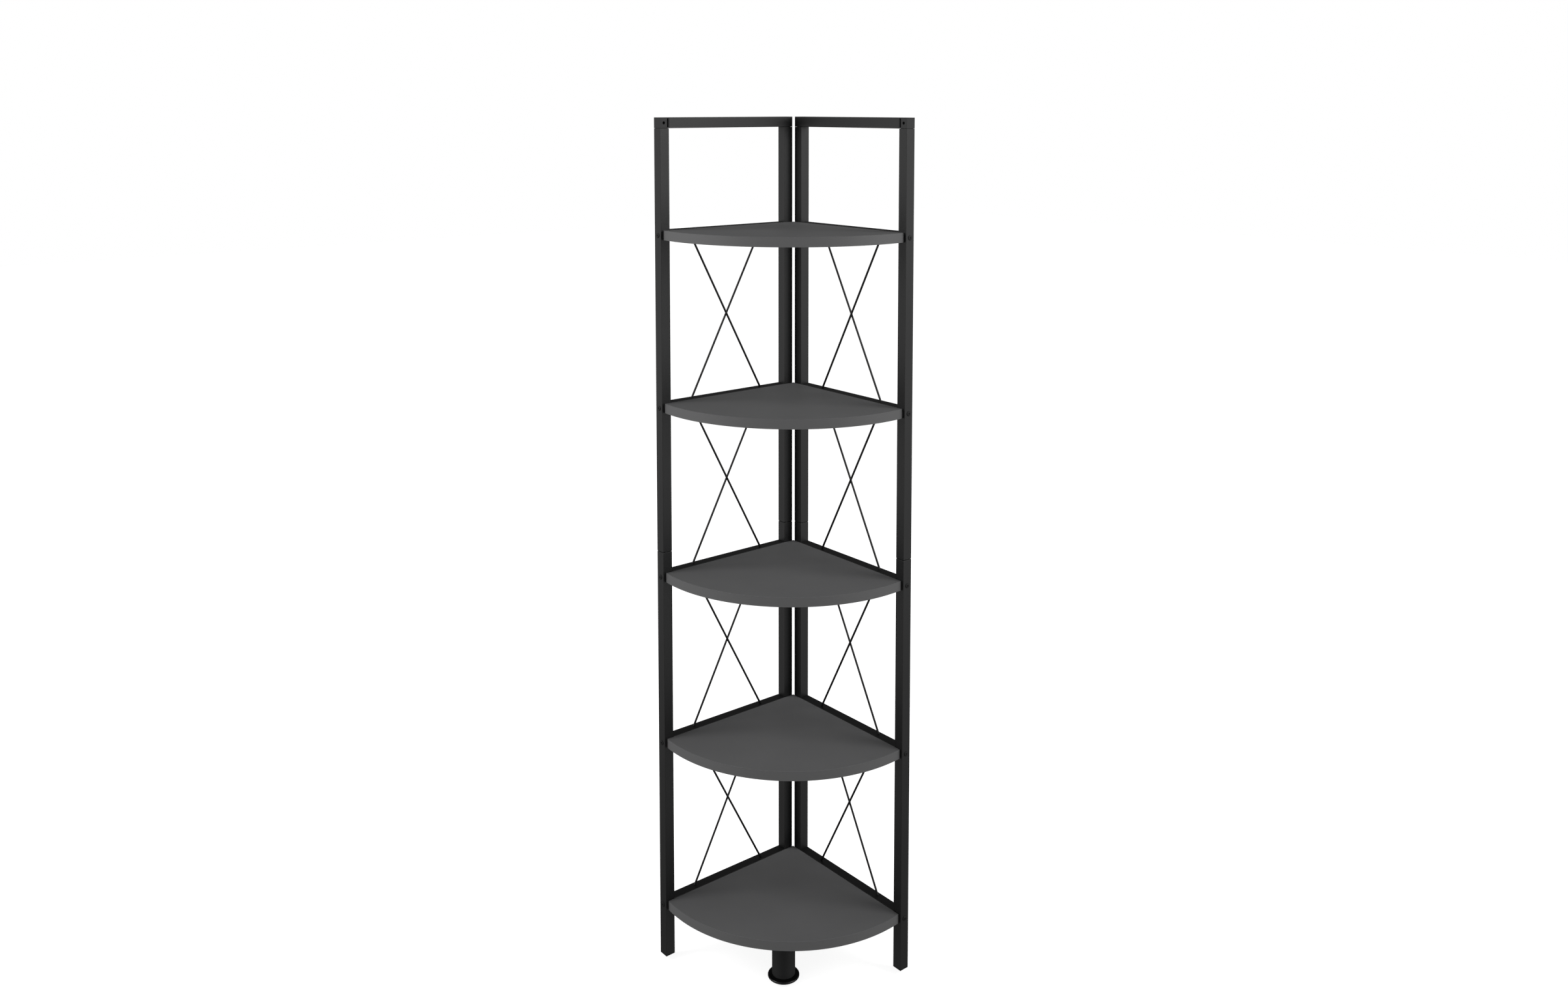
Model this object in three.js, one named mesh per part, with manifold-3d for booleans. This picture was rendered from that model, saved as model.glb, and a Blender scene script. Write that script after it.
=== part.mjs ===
// Corner shelf unit: two ladder frames of square tube at a right angle, five quarter-round shelves
// between them, and a round front leg on a levelling foot. Millimetres, +Z up. The room corner lies
// towards -X and +Y. The left frame stands along the -X wall and the right frame along the +Y wall.

import * as THREE from 'three';
import { mergeVertices } from 'three/addons/utils/BufferGeometryUtils.js';
import Module from 'manifold-3d';

const wasm = await Module();
wasm.setup();

// Overall layout
const FRAME_DEPTH = 340; // wall corner to the front face of each frame's front post
const FLOOR_TO_RAIL = 112; // floor to the top face of the lowest shelf rail
const SHELF_PITCH = 325.8; // one shelf rail to the next
const SHELF_LEVELS = 5;
const TOP_RISE = 208.8; // top face of the highest shelf rail to the top of the frames
const GAP = 0.3; // clearance between pieces that touch
const OVERRUN = 2; // how far a cutting solid runs past what it cuts

// Square tube of the posts and rails
const TUBE = 20;
const TUBE_WALL = 1.2;
const TUBE_CORNER = 0.6; // outer corner radius
const TUBE_CORNER_SHARE = 0.5; // inner corner radius, of the outer one
const TUBE_CHAMFER = 0.5; // where the lower and upper posts meet
const BACK_POST_SETBACK = 3.3; // between a back post and the plane of the other frame's inner face
const END_PLATE = 3; // welded plate that closes each end of a shelf rail

// Sleeves that join the lower and upper posts
const SPLICE_RISE = 39.4; // top face of the middle shelf rail to the joint in the posts
const SLEEVE_LENGTH = 80;
const SLEEVE_WALL = 1.5;

// Round rods that brace each bay of a frame
const ROD_DIAMETER = 4;
const ROD_INSET = 56.8; // post to the end of a rod, along the rail

// Shelves
const SHELF_THICKNESS = 18;
const SHELF_DROP = 0.4; // top face of the rails to the shelf's
const SHELF_SIDE_GAP = 0.5; // between a shelf's straight side and the frame beside it
const SHELF_SETBACK = 5.6; // front face of a front post to the shelf's corner beside it
const ARC_CENTRE = 54; // centre of the front curve, from each wall
const SHELF_EDGE = 0.5; // eased edge of the board

// Screws through the rails into the shelves
const SHELF_SCREW_INSET = 45; // end of the rail to the screw
const SCREW_HOLE = 4.4;
const SCREW_ACCESS_HOLE = 9;
const SCREW_PILOT = 3;
const SCREW_PILOT_DEPTH = 15;

// Bolts through the posts into the rails
const BOLT_DIAMETER = 6;
const BOLT_HOLE = 6.8;
const BOLT_HEAD = 9.2;
const BOLT_HEAD_HEIGHT = 1.1;
const BOLT_HEAD_ROUND = 0.5;
const BOLT_SOCKET = 3.2; // across the corners
const BOLT_SOCKET_DEPTH = 0.7;

// Moulded connectors at the top of the frames
const SPIGOT_LENGTH = 22; // into the post below
const RAIL_SPIGOT_LENGTH = 18; // into the top rail
const SPIGOT_POCKET_WALL = 2.5;
const WALL_HOLE = 5.2; // for the screw into the room's wall
const WALL_HOLE_SET = 8.5; // front face of the block to the hole
const SLOT_WIDTH = 2.7;
const SLOT_SET = 17.4; // front face of the block to the middle of the slot
const SLOT_LIP = 1.6; // left above and below the slot
const SLOT_DEPTH = 5; // from each side of the block
const BLOCK_EDGE = 0.3;
const CAP_HEAD = 1.5; // plate of the back connector that closes the rail's end
const NECK_WIDTH = 12; // of the back connector, through the underside of the top rail

// Glides under the posts
const GLIDE_HEAD = 2;
const GLIDE_SPIGOT = 14;
const GLIDE_EDGE = 0.4;

// Front leg
const LEG_FROM_LEFT_WALL = 208;
const LEG_FROM_RIGHT_WALL = 200;
const LEG_DIAMETER = 44;
const LEG_WALL = 1.5;
const LEG_WEB = 6; // threaded plate inside the leg that carries the stem
const WEB_CLEARANCE = 6; // above the foot's collar
const PLATE_SIDE = 64;
const PLATE_CORNER = 8;
const PLATE_THICKNESS = 2.5;
const PLATE_HOLE = 5;
const PLATE_HOLE_INSET = 8;
const PLATE_PILOT_DEPTH = 11;

// Levelling foot
const FOOT_DIAMETER = 60;
const FOOT_FLANGE = 5.5; // floor to the seat under the leg
const FOOT_RIM_EDGE = 1.2;
const FOOT_RIM_HEIGHT = 3.6;
const COLLAR_HEIGHT = 17;
const COLLAR_CLEARANCE = 0.6;
const COLLAR_WALL = 3.4;
const COLLAR_CHAMFER = 0.8;
const STEM_DIAMETER = 10;
const STEM_CLEARANCE = 0.4; // between the stem and the thread of the web
const STEM_RISE = 30; // above the web
const STEM_HEAD = 17; // across the flats
const STEM_HEAD_HEIGHT = 6.4;
const FOOT_FLOOR = 9; // floor to the bottom of the pocket for the stem's head

// Facets of round forms
const CORNER_STEPS = 1;
const ARC_STEPS = 20;
const SLOT_STEPS = 3;
const ROD_SIDES = 10;
const HOLE_SIDES = 8;
const HEAD_SIDES = 12;
const LEG_SIDES = 32;
const HEXAGON = 6;

// Worked out from the sizes above
const BORE = TUBE - 2 * TUBE_WALL;
const BORE_CORNER = TUBE_CORNER * TUBE_CORNER_SHARE;
const SPIGOT = BORE - 2 * GAP;
const TOP_RAIL_Z = FLOOR_TO_RAIL + (SHELF_LEVELS - 1) * SHELF_PITCH + TOP_RISE;
const FRONT_POST = FRAME_DEPTH - TUBE;
const BACK_POST = TUBE + BACK_POST_SETBACK;
const RAIL_START = BACK_POST + TUBE + GAP;
const RAIL_LENGTH = FRONT_POST - GAP - RAIL_START;
const MIDDLE_LEVEL = Math.floor(SHELF_LEVELS / 2);
const SPLICE_Z = railTop(MIDDLE_LEVEL) + SPLICE_RISE;
const SHELF_SCREW_RISE = SHELF_DROP + SHELF_THICKNESS - TUBE / 2; // from the underside of the shelf
const SHELF_SIDE = TUBE + SHELF_SIDE_GAP;
const SHELF_REACH = FRAME_DEPTH - SHELF_SETBACK;
const ARC_RADIUS = Math.hypot(SHELF_REACH - ARC_CENTRE, ARC_CENTRE - SHELF_SIDE);
const POST_TOP = TOP_RAIL_Z - TUBE - GAP;
const LEG_BORE = LEG_DIAMETER - 2 * LEG_WALL;
const WEB_Z = FOOT_FLANGE + COLLAR_HEIGHT + WEB_CLEARANCE;
const STEM_TOP = WEB_Z + LEG_WEB + STEM_RISE;
const REACH = FRAME_DEPTH + GAP + BOLT_HEAD_HEIGHT;
const WALL_X = -REACH / 2;
const WALL_Y = REACH / 2;

const paint = { color: '#26272a', roughness: 0.42, metalness: 0.1 };
const FINISH = {
  tube: paint,
  rod: { ...paint, color: '#202124' },
  board: { color: '#4b4c4f', roughness: 0.6, metalness: 0 },
  moulding: { color: '#35363a', roughness: 0.65, metalness: 0 },
  foot: { color: '#0e0e10', roughness: 0.3, metalness: 0 },
  steel: { color: '#8d9095', roughness: 0.35, metalness: 0.9 },
};

// Top face of a shelf rail, counted from the lowest level.
function railTop(level) {
  return FLOOR_TO_RAIL + level * SHELF_PITCH;
}

// A closed geometry with its shared vertices merged and its empty triangles dropped.
function welded(geometry) {
  const bare = geometry.clone();
  bare.deleteAttribute('normal');
  bare.deleteAttribute('uv');
  const merged = mergeVertices(bare);
  const from = merged.index.array;
  const kept = [];
  for (let i = 0; i < from.length; i += 3) {
    const [a, b, c] = [from[i], from[i + 1], from[i + 2]];
    if (a !== b && b !== c && c !== a) kept.push(a, b, c);
  }
  merged.setIndex(kept);
  return merged;
}

function toSolid(geometry) {
  const mesh = welded(geometry);
  return new wasm.Manifold(new wasm.Mesh({
    numProp: 3,
    vertProperties: new Float32Array(mesh.attributes.position.array),
    triVerts: new Uint32Array(mesh.index.array),
  }));
}

function toGeometry(solid) {
  const mesh = solid.getMesh();
  const geometry = new THREE.BufferGeometry();
  geometry.setAttribute('position', new THREE.BufferAttribute(mesh.vertProperties, 3));
  geometry.setIndex(new THREE.BufferAttribute(mesh.triVerts, 1));
  geometry.computeVertexNormals();
  return geometry;
}

// The first geometry with the others cut away, or joined on.
function cut(body, tools) {
  return toGeometry(tools.reduce((solid, tool) => solid.subtract(toSolid(tool)), toSolid(body)));
}

function join(body, others) {
  return toGeometry(others.reduce((solid, other) => solid.add(toSolid(other)), toSolid(body)));
}

function roundedRectangle(width, height, radius) {
  const shape = new THREE.Shape();
  const x = width / 2 - radius;
  const y = height / 2 - radius;
  shape.absarc(x, y, radius, 0, Math.PI / 2);
  shape.absarc(-x, y, radius, Math.PI / 2, Math.PI);
  shape.absarc(-x, -y, radius, Math.PI, 1.5 * Math.PI);
  shape.absarc(x, -y, radius, 1.5 * Math.PI, 2 * Math.PI);
  return shape;
}

// A straight piece of one section, standing on z = 0, with an optional chamfer at both ends.
function prism(shape, length, chamfer = 0, steps = CORNER_STEPS) {
  const geometry = new THREE.ExtrudeGeometry(shape, {
    depth: length - 2 * chamfer,
    curveSegments: steps,
    bevelEnabled: chamfer > 0,
    bevelThickness: chamfer,
    bevelSize: chamfer,
    bevelOffset: -chamfer,
    bevelSegments: 1,
  });
  return geometry.translate(0, 0, chamfer);
}

function square(side, length, radius, chamfer = 0) {
  return prism(roundedRectangle(side, side, radius), length, chamfer);
}

// A round bar of the given length, standing on z = 0.
function bar(diameter, length, sides = HOLE_SIDES) {
  const geometry = new THREE.CylinderGeometry(diameter / 2, diameter / 2, length, sides);
  return geometry.rotateX(Math.PI / 2).translate(0, 0, length / 2);
}

// A turned piece about +Z, from a profile of [radius, height] that starts on the axis or closes.
function turned(profile, sides) {
  const points = profile.map(([radius, height]) => new THREE.Vector2(radius, height));
  return new THREE.LatheGeometry(points, sides).rotateX(Math.PI / 2);
}

// Lies a standing geometry down along +X or +Y.
function alongX(geometry) {
  return geometry.rotateY(Math.PI / 2);
}

function alongY(geometry) {
  return geometry.rotateX(-Math.PI / 2);
}

function piece(group, name, finish, geometry) {
  const mesh = new THREE.Mesh(geometry, new THREE.MeshStandardMaterial(FINISH[finish]));
  mesh.name = name;
  group.add(mesh);
  return mesh;
}

// Frame pieces are drawn in the frame's own axes: X runs along the frame from the wall corner to the
// room, Y across the tube from its middle, and inward is the sign of Y on the side of the shelves.

// A post between two heights, with clearance holes for the bolts of the rails that it crosses. Only
// the end at the joint with the other post is chamfered; the bar runs past the plain end, which is
// trimmed.
function post(bottom, top) {
  const length = top - bottom;
  const spare = TUBE_CHAMFER + OVERRUN;
  const isUpper = bottom > SPLICE_Z;
  const tube = square(TUBE, length + spare, TUBE_CORNER, TUBE_CHAMFER);
  tube.translate(0, 0, isUpper ? 0 : -spare);
  const trim = new THREE.BoxGeometry(TUBE + OVERRUN, TUBE + OVERRUN, spare + OVERRUN);
  const beyond = (spare + OVERRUN) / 2;
  const cuts = [trim.translate(0, 0, isUpper ? length + beyond : -beyond)];
  cuts.push(square(BORE, length + 2 * OVERRUN, BORE_CORNER).translate(0, 0, -OVERRUN));
  for (let level = 0; level < SHELF_LEVELS; level += 1) {
    const z = railTop(level) - TUBE / 2;
    if (z < bottom || z > top) continue;
    const hole = alongX(bar(BOLT_HOLE, TUBE + 2 * OVERRUN));
    cuts.push(hole.translate(-TUBE / 2 - OVERRUN, 0, z - bottom));
  }
  return cut(tube, cuts);
}

function sleeve() {
  const bore = SPIGOT - 2 * SLEEVE_WALL;
  const outside = square(SPIGOT, SLEEVE_LENGTH, BORE_CORNER);
  const inside = square(bore, SLEEVE_LENGTH + 2 * OVERRUN, BORE_CORNER);
  return cut(outside, [inside.translate(0, 0, -OVERRUN)]);
}

// A plug whose head carries the post, with a hollow spigot up into the tube.
function glide() {
  const spigot = square(SPIGOT, GLIDE_SPIGOT + GAP, BORE_CORNER).translate(0, 0, GLIDE_HEAD - GAP);
  const pocket = square(SPIGOT - 2 * SPIGOT_POCKET_WALL, GLIDE_SPIGOT + OVERRUN, BORE_CORNER);
  const plug = join(square(TUBE, GLIDE_HEAD, TUBE_CORNER, GLIDE_EDGE), [spigot]);
  return cut(plug, [pocket.translate(0, 0, GLIDE_HEAD)]);
}

// A bolt along +X from its head, whose seat is at x = 0, through the post and into the rail's plate.
function frameBolt() {
  const radius = BOLT_HEAD / 2;
  const profile = [
    [0, 0],
    [radius, 0],
    [radius, BOLT_HEAD_HEIGHT - BOLT_HEAD_ROUND],
    [radius - BOLT_HEAD_ROUND, BOLT_HEAD_HEIGHT],
    [0, BOLT_HEAD_HEIGHT],
  ];
  const floor = BOLT_HEAD_HEIGHT - BOLT_SOCKET_DEPTH;
  const socket = bar(BOLT_SOCKET, BOLT_SOCKET_DEPTH + OVERRUN, HEXAGON).translate(0, 0, floor);
  const head = cut(turned(profile, HEAD_SIDES), [socket]);
  const length = TUBE + 2 * GAP + END_PLATE / 2;
  const shank = bar(BOLT_DIAMETER, length + floor / 2);
  return alongX(join(head, [shank.translate(0, 0, -length)])).rotateZ(Math.PI);
}

// A shelf rail with its end plates, the bolts that hold it, and the holes for the shelf's screws.
function shelfRail(inward) {
  const tube = alongX(square(TUBE, RAIL_LENGTH, TUBE_CORNER));
  const hollow = alongX(square(BORE, RAIL_LENGTH - 2 * END_PLATE, BORE_CORNER));
  const cuts = [hollow.translate(END_PLATE, 0, 0)];
  for (const x of [SHELF_SCREW_INSET, RAIL_LENGTH - SHELF_SCREW_INSET]) {
    const reach = TUBE + OVERRUN;
    const access = alongY(bar(SCREW_ACCESS_HOLE, reach)).translate(x, 0, 0);
    const through = alongY(bar(SCREW_HOLE, reach)).translate(x, 0, 0);
    cuts.push(inward > 0 ? access.translate(0, -reach, 0) : access);
    cuts.push(inward > 0 ? through : through.translate(0, -reach, 0));
  }
  const back = frameBolt().translate(-TUBE - 2 * GAP, 0, 0);
  const front = frameBolt().rotateZ(Math.PI).translate(RAIL_LENGTH + TUBE + 2 * GAP, 0, 0);
  return join(cut(tube, cuts), [back, front]);
}

// The top rail lies over the back post, and its underside is notched there for the connector.
function topRail() {
  const start = BACK_POST + CAP_HEAD + GAP;
  const length = FRONT_POST - GAP - start;
  const hollow = alongX(square(BORE, length + 2 * OVERRUN, BORE_CORNER)).translate(-OVERRUN, 0, 0);
  const mouth = (TUBE + SPIGOT) / 2 - CAP_HEAD;
  const notch = new THREE.BoxGeometry(mouth + OVERRUN, NECK_WIDTH + 2 * GAP, TUBE / 2);
  notch.translate((mouth - OVERRUN) / 2, 0, -TUBE / 2);
  return cut(alongX(square(TUBE, length, TUBE_CORNER)), [hollow, notch]);
}

// A square spigot that hangs below a connector, and the pocket that lightens it from underneath.
function postSpigot(top) {
  return square(SPIGOT, SPIGOT_LENGTH, BORE_CORNER).translate(TUBE / 2, 0, top - SPIGOT_LENGTH);
}

function postSpigotPocket(top) {
  const depth = SPIGOT_LENGTH - SPIGOT_POCKET_WALL;
  const pocket = square(SPIGOT - 2 * SPIGOT_POCKET_WALL, depth + OVERRUN, BORE_CORNER);
  return pocket.translate(TUBE / 2, 0, top - SPIGOT_LENGTH - OVERRUN);
}

// The slots are sunk from both sides of the corner block, beside the rail.
function blockSlots() {
  const shape = roundedRectangle(SLOT_WIDTH, TUBE - 2 * SLOT_LIP, SLOT_WIDTH / 2);
  return [-TUBE / 2 - OVERRUN, TUBE / 2 - SLOT_DEPTH].map((y) => {
    const slot = alongY(prism(shape, SLOT_DEPTH + OVERRUN, 0, SLOT_STEPS));
    return slot.translate(TUBE - SLOT_SET, y, 0);
  });
}

// A moulded block over the front post, drilled for the wall screw, with spigots for post and rail.
function cornerBlock() {
  const block = alongX(square(TUBE, TUBE, TUBE_CORNER, BLOCK_EDGE));
  const intoRail = alongX(square(SPIGOT, RAIL_SPIGOT_LENGTH + TUBE / 2, BORE_CORNER));
  const neck = square(SPIGOT, TUBE / 2, BORE_CORNER).translate(TUBE / 2, 0, -TUBE / 2 - GAP);
  const seat = -TUBE / 2 - GAP;
  const hole = alongY(bar(WALL_HOLE, TUBE + 2 * OVERRUN, 2 * HOLE_SIDES));
  hole.translate(TUBE - WALL_HOLE_SET, -TUBE / 2 - OVERRUN, 0);
  const body = join(block, [intoRail.translate(-RAIL_SPIGOT_LENGTH, 0, 0), neck, postSpigot(seat)]);
  return cut(body, [hole, postSpigotPocket(seat), ...blockSlots()]);
}

// A moulded elbow that closes the back end of the top rail and stands in the back post.
function backConnector() {
  const seat = -TUBE / 2 - GAP;
  const head = alongX(square(TUBE, CAP_HEAD, TUBE_CORNER));
  const intoRail = alongX(square(SPIGOT, CAP_HEAD + RAIL_SPIGOT_LENGTH, BORE_CORNER));
  const neck = new THREE.BoxGeometry(SPIGOT, NECK_WIDTH, TUBE / 2).translate(TUBE / 2, 0, seat);
  return cut(join(head, [intoRail, neck, postSpigot(seat)]), [postSpigotPocket(seat)]);
}

// A round rod that leans along the frame, with level ends that meet the rails above and below it.
function braceRod(run, rise) {
  const lean = run / rise;
  const matrix = new THREE.Matrix4().set(
    Math.hypot(1, lean), 0, lean, 0,
    0, 1, 0, 0,
    0, 0, 1, 0,
    0, 0, 0, 1,
  );
  return bar(ROD_DIAMETER, rise, ROD_SIDES).applyMatrix4(matrix);
}

// A post in two lengths on an inner sleeve, with its glide.
function addPost(frame, name, x) {
  const lower = GLIDE_HEAD + GAP;
  const upper = SPLICE_Z + GAP / 2;
  piece(frame, `${name}_lower`, 'tube', post(lower, SPLICE_Z - GAP / 2)).position.set(x, 0, lower);
  piece(frame, `${name}_upper`, 'tube', post(upper, POST_TOP)).position.set(x, 0, upper);
  piece(frame, `${name}_sleeve`, 'steel', sleeve()).position.set(x, 0, SPLICE_Z - SLEEVE_LENGTH / 2);
  piece(frame, `${name}_glide`, 'foot', glide()).position.set(x, 0, 0);
}

// One ladder frame: two posts, its rails, its braces and its two moulded connectors.
function buildFrame(side, inward) {
  const frame = new THREE.Group();
  addPost(frame, `${side}_front_post`, FRONT_POST + TUBE / 2);
  addPost(frame, `${side}_back_post`, BACK_POST + TUBE / 2);
  for (let level = 0; level < SHELF_LEVELS; level += 1) {
    const rail = piece(frame, `${side}_shelf_rail_${level + 1}`, 'tube', shelfRail(inward));
    rail.position.set(RAIL_START, 0, railTop(level) - TUBE / 2);
  }
  addBraces(frame, side, inward);
  const topZ = TOP_RAIL_Z - TUBE / 2;
  piece(frame, `${side}_top_rail`, 'tube', topRail()).position.set(BACK_POST + CAP_HEAD + GAP, 0, topZ);
  piece(frame, `${side}_corner_block`, 'moulding', cornerBlock()).position.set(FRONT_POST, 0, topZ);
  piece(frame, `${side}_back_connector`, 'moulding', backConnector()).position.set(BACK_POST, 0, topZ);
  return frame;
}

// Two rods cross in each bay, side by side in the thickness of the frame.
function addBraces(frame, side, inward) {
  const offset = (ROD_DIAMETER + GAP) / 2;
  const run = RAIL_LENGTH + 2 * GAP - 2 * ROD_INSET;
  const rise = SHELF_PITCH - TUBE - 2 * GAP;
  const near = RAIL_START - GAP + ROD_INSET;
  for (let bay = 0; bay < SHELF_LEVELS - 1; bay += 1) {
    const z = railTop(bay) + GAP;
    const room = piece(frame, `${side}_brace_${bay + 1}_room_side`, 'rod', braceRod(run, rise));
    room.position.set(near, inward * offset, z);
    const wall = piece(frame, `${side}_brace_${bay + 1}_wall_side`, 'rod', braceRod(-run, rise));
    wall.position.set(near + run, -inward * offset, z);
  }
}

// Outline of a shelf: two straight sides along the frames and one curve across the front.
function shelfShape() {
  const opening = Math.asin((ARC_CENTRE - SHELF_SIDE) / ARC_RADIUS);
  const shape = new THREE.Shape();
  shape.moveTo(SHELF_SIDE, -SHELF_SIDE);
  shape.lineTo(SHELF_SIDE, -SHELF_REACH);
  shape.absarc(ARC_CENTRE, -ARC_CENTRE, ARC_RADIUS, -Math.PI / 2 - opening, opening);
  shape.closePath();
  return shape;
}

// Pilot holes in a shelf's straight sides, in line with the holes of the rails.
function sidePilots() {
  const holes = [];
  for (const inset of [SHELF_SCREW_INSET, RAIL_LENGTH - SHELF_SCREW_INSET]) {
    const along = RAIL_START + inset;
    const depth = SCREW_PILOT_DEPTH + OVERRUN;
    const left = alongX(bar(SCREW_PILOT, depth));
    const right = alongY(bar(SCREW_PILOT, depth));
    holes.push(left.translate(SHELF_SIDE - OVERRUN, -along, SHELF_SCREW_RISE));
    holes.push(right.translate(along, -SHELF_SIDE + OVERRUN - depth, SHELF_SCREW_RISE));
  }
  return holes;
}

// Bars at the four screw places of the leg's plate, that stand on the plane of its top or bottom.
function plateBars(diameter, length) {
  const set = PLATE_SIDE / 2 - PLATE_HOLE_INSET;
  const places = [[-set, -set], [-set, set], [set, -set], [set, set]];
  return places.map(([x, y]) => bar(diameter, length).translate(x, y, -OVERRUN));
}

function shelf(level) {
  const holes = sidePilots();
  if (level === 0) {
    for (const hole of plateBars(SCREW_PILOT, PLATE_PILOT_DEPTH + OVERRUN)) {
      holes.push(hole.translate(LEG_FROM_LEFT_WALL, -LEG_FROM_RIGHT_WALL, 0));
    }
  }
  return cut(prism(shelfShape(), SHELF_THICKNESS, SHELF_EDGE, ARC_STEPS), holes);
}

function legPlate() {
  const outline = roundedRectangle(PLATE_SIDE, PLATE_SIDE, PLATE_CORNER);
  const plate = prism(outline, PLATE_THICKNESS, 0, SLOT_STEPS);
  return cut(plate, plateBars(PLATE_HOLE, PLATE_THICKNESS + 2 * OVERRUN));
}

// The leg is a tube with a threaded web inside, on one profile.
function legTube(bottom, top) {
  const outer = LEG_DIAMETER / 2;
  const inner = LEG_BORE / 2;
  const thread = STEM_DIAMETER / 2 + STEM_CLEARANCE;
  return turned([
    [outer, bottom],
    [outer, top],
    [inner, top],
    [inner, WEB_Z + LEG_WEB],
    [thread, WEB_Z + LEG_WEB],
    [thread, WEB_Z],
    [inner, WEB_Z],
    [inner, bottom],
    [outer, bottom],
  ], LEG_SIDES);
}

// A hexagonal bar of the given size across its flats.
function hexagonBar(flats, length) {
  return bar(flats / Math.cos(Math.PI / HEXAGON), length, HEXAGON);
}

// A flanged foot with a collar that slides in the leg and a pocket for the stem's head.
function levellingFoot() {
  const rim = FOOT_DIAMETER / 2;
  const collar = LEG_BORE / 2 - COLLAR_CLEARANCE;
  const top = FOOT_FLANGE + COLLAR_HEIGHT;
  const pocketTop = FOOT_FLOOR + STEM_HEAD_HEIGHT;
  const body = turned([
    [0, 0],
    [rim - FOOT_RIM_EDGE, 0],
    [rim, FOOT_RIM_EDGE],
    [rim, FOOT_RIM_HEIGHT],
    [rim - FOOT_RIM_EDGE, (FOOT_FLANGE + FOOT_RIM_HEIGHT) / 2],
    [LEG_DIAMETER / 2 + GAP, FOOT_FLANGE],
    [collar, FOOT_FLANGE],
    [collar, top - COLLAR_CHAMFER],
    [collar - COLLAR_CHAMFER, top],
    [collar - COLLAR_WALL, top],
    [collar - COLLAR_WALL, pocketTop],
    [0, pocketTop],
  ], LEG_SIDES);
  const pocket = hexagonBar(STEM_HEAD + 2 * GAP, STEM_HEAD_HEIGHT + OVERRUN);
  return cut(body, [pocket.translate(0, 0, FOOT_FLOOR)]);
}

function stem() {
  const bottom = FOOT_FLOOR + GAP;
  const head = hexagonBar(STEM_HEAD, STEM_HEAD_HEIGHT);
  const shaft = bar(STEM_DIAMETER, STEM_TOP - bottom, HEAD_SIDES);
  return join(head, [shaft]).translate(0, 0, bottom);
}

function addLeg(unit) {
  const shelfBottom = railTop(0) - SHELF_DROP - SHELF_THICKNESS;
  const plateZ = shelfBottom - GAP - PLATE_THICKNESS;
  const leg = new THREE.Group();
  leg.position.set(LEG_FROM_LEFT_WALL, -LEG_FROM_RIGHT_WALL, 0);
  piece(leg, 'leg_plate', 'tube', legPlate()).position.z = plateZ;
  piece(leg, 'leg_tube', 'tube', legTube(FOOT_FLANGE + GAP, plateZ - GAP));
  piece(leg, 'levelling_foot', 'foot', levellingFoot());
  piece(leg, 'levelling_stem', 'steel', stem());
  unit.add(leg);
}

function buildUnit() {
  const unit = new THREE.Group();
  unit.position.set(WALL_X, WALL_Y, 0);
  const left = buildFrame('left', 1);
  left.position.set(TUBE / 2, 0, 0);
  left.rotation.z = -Math.PI / 2;
  const right = buildFrame('right', -1);
  right.position.set(0, -TUBE / 2, 0);
  unit.add(left, right);
  for (let level = 0; level < SHELF_LEVELS; level += 1) {
    const board = piece(unit, `shelf_${level + 1}`, 'board', shelf(level));
    board.position.z = railTop(level) - SHELF_DROP - SHELF_THICKNESS;
  }
  addLeg(unit);
  return unit;
}

const part = new THREE.Group();
part.add(buildUnit());

export default part;
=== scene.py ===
"""Looks of the corner shelf unit: two ladder frames of square tube at a right angle, five quarter-round
shelves between them, and a round front leg on a levelling foot. Metres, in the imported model's frame."""

import math

import bpy
from mathutils import Matrix, Vector


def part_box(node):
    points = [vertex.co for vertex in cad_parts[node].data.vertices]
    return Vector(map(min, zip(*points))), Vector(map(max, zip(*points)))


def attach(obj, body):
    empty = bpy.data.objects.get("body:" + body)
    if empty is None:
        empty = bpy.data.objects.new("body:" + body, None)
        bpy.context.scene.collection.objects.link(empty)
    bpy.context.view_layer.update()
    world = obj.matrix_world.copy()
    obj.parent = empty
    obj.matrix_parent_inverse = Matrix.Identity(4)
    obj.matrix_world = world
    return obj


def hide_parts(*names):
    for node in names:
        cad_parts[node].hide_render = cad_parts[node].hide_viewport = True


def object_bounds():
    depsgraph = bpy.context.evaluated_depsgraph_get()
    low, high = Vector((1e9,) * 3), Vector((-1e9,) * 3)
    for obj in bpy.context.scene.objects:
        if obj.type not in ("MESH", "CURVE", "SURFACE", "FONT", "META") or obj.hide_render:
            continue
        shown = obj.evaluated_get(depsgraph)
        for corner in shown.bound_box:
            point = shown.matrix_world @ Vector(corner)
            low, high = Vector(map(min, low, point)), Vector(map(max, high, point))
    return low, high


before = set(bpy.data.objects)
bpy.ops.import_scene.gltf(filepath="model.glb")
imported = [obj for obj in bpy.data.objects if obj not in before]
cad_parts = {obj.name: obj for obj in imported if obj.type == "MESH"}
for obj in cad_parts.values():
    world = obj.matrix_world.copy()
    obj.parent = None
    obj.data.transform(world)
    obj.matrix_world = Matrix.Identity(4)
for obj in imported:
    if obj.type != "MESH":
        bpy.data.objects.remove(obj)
cad_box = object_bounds()

MM = 0.001
UNIT = "unit"
FOOT = "foot"
LEVELS = sum(1 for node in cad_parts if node.startswith("left_shelf_rail_"))
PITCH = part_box("left_shelf_rail_2")[0].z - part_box("left_shelf_rail_1")[0].z
GAP = 0.3 * MM  # between two pieces' faces

# Square tube
TUBE = 20 * MM
TUBE_WALL = 1.2 * MM
TUBE_BORE = TUBE - 2 * TUBE_WALL
TUBE_CORNER = 0.5 * MM
BORE_CORNER = 0.3 * MM
SHARPEST_CORNER = 0.02 * MM
SAWN_EDGE = 0.25 * MM
JOINT_EDGE = 1.1 * MM  # at the joint between the lower and upper posts
CORNER_STEPS = 6
EDGE_STEPS = 3

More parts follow.
